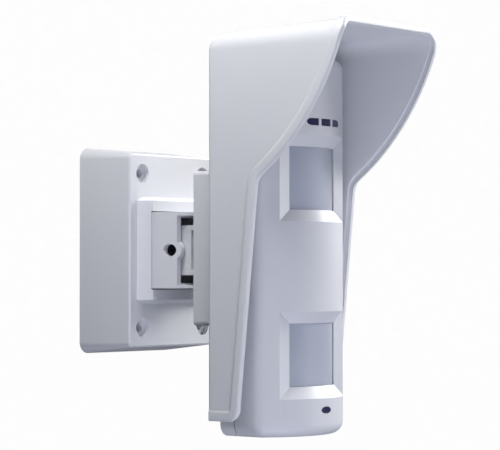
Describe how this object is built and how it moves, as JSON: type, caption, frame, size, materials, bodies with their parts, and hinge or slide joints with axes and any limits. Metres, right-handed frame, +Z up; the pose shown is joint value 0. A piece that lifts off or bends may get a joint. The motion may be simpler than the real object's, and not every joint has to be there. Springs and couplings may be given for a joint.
{
  "type": "outdoor motion sensor",
  "caption": "Outdoor infrared motion sensor with an upper and a lower lens window under a deep rain hood, on a pan and tilt wall box.",
  "frame": {"origin": "centre of the wall box's back face, on the wall, level with the tilt axis", "axes": "+Y into the wall, +Z up, the sensor looks along -Y, X across its width"},
  "size_m": [0.0974, 0.1918, 0.2307],
  "materials": {
    "light_abs": "satin moulded, light grey white",
    "grey_abs": "satin moulded, light grey",
    "black_plastic": "matte black",
    "rubber_seal": "matte",
    "friction_pad": "dark nylon",
    "zinc_steel": "zinc plated",
    "lens_film": "milky ribbed polyethylene",
    "smoked_window": "smoked clear plastic",
    "clear_guide": "clear plastic",
    "led_green": "clear tinted",
    "led_red": "clear tinted",
    "board_green": "solder mask",
    "sensor_can": "nickel plated",
    "terminal_green": "moulded",
    "relay_blue": "moulded",
    "capacitor_sleeve": "shrink sleeve",
    "switch_red": "moulded",
    "white_plastic": "moulded",
    "dial_blue": "moulded"
  },
  "bodies": {
    "wall_unit": {"wall_box": "light_abs", "wall_plate": "zinc_steel", "wall_seal": "rubber_seal", "cable_grommet": "black_plastic", "plate_screws": "zinc_steel", "pan_pad": "friction_pad", "pan_clamp_shoe": "zinc_steel", "pan_clamp_screw": "zinc_steel", "pan_clamp_nut": "zinc_steel"},
    "pan_unit": {"swivel_drum": "light_abs", "tilt_bolt": "zinc_steel", "tilt_nut": "zinc_steel", "tilt_washers": "friction_pad"},
    "head": {"tilt_arm": "light_abs", "arm_screws": "zinc_steel", "rear_bracket": "light_abs", "bracket_screws": "zinc_steel", "hood": "light_abs", "base_case": "light_abs", "base_grommet": "black_plastic", "case_seal": "rubber_seal", "front_cover": "grey_abs", "cover_screw": "zinc_steel", "upper_lens": "lens_film", "lower_lens": "lens_film", "upper_lens_frame": "black_plastic", "lower_lens_frame": "black_plastic", "status_window": "smoked_window", "light_guide": "clear_guide", "status_leds": "led_green", "alarm_window": "smoked_window", "alarm_led": "led_red", "circuit_board": "board_green", "board_screws": "zinc_steel", "upper_pyro_sensor": "sensor_can", "lower_pyro_sensor": "sensor_can", "upper_optic_chamber": "black_plastic", "lower_optic_chamber": "black_plastic", "terminal_block": "terminal_green", "terminal_screws": "zinc_steel", "alarm_relay": "relay_blue", "processor_chip": "black_plastic", "capacitors": "capacitor_sleeve", "dip_switch": "switch_red", "range_dial_base": "dial_blue", "tamper_switch": "black_plastic"},
    "dip_slider_1": {"dip_slider_1": "white_plastic"},
    "dip_slider_2": {"dip_slider_2": "white_plastic"},
    "dip_slider_3": {"dip_slider_3": "white_plastic"},
    "dip_slider_4": {"dip_slider_4": "white_plastic"},
    "range_dial": {"range_dial": "white_plastic"},
    "tamper_plunger": {"tamper_plunger": "white_plastic"}
  },
  "joints": [
    {"name": "pan", "type": "hinge", "parent": "wall_unit", "child": "pan_unit", "pos_m": [0, -0.0438, 0], "axis": [0, 0, 1], "range_deg": [-40, 40]},
    {"name": "tilt", "type": "hinge", "parent": "pan_unit", "child": "head", "pos_m": [0, -0.054, 0], "axis": [1, 0, 0], "range_deg": [-15, 15]},
    {"name": "dip_slider_1_slide", "type": "slide", "parent": "head", "child": "dip_slider_1", "axis": [1, 0, 0], "range_m": [0, 0.0012]},
    {"name": "dip_slider_2_slide", "type": "slide", "parent": "head", "child": "dip_slider_2", "axis": [1, 0, 0], "range_m": [0, 0.0012]},
    {"name": "dip_slider_3_slide", "type": "slide", "parent": "head", "child": "dip_slider_3", "axis": [1, 0, 0], "range_m": [0, 0.0012]},
    {"name": "dip_slider_4_slide", "type": "slide", "parent": "head", "child": "dip_slider_4", "axis": [1, 0, 0], "range_m": [0, 0.0012]},
    {"name": "range_dial_turn", "type": "hinge", "parent": "head", "child": "range_dial", "pos_m": [0.019, -0.1144, 0.002], "axis": [0, -1, 0], "range_deg": [-130, 130]},
    {"name": "tamper_press", "type": "slide", "parent": "head", "child": "tamper_plunger", "axis": [0, 1, 0], "range_m": [0, 0.0008], "stiffness_N_per_m": 150, "springref_m": -0.0015}
  ]
}
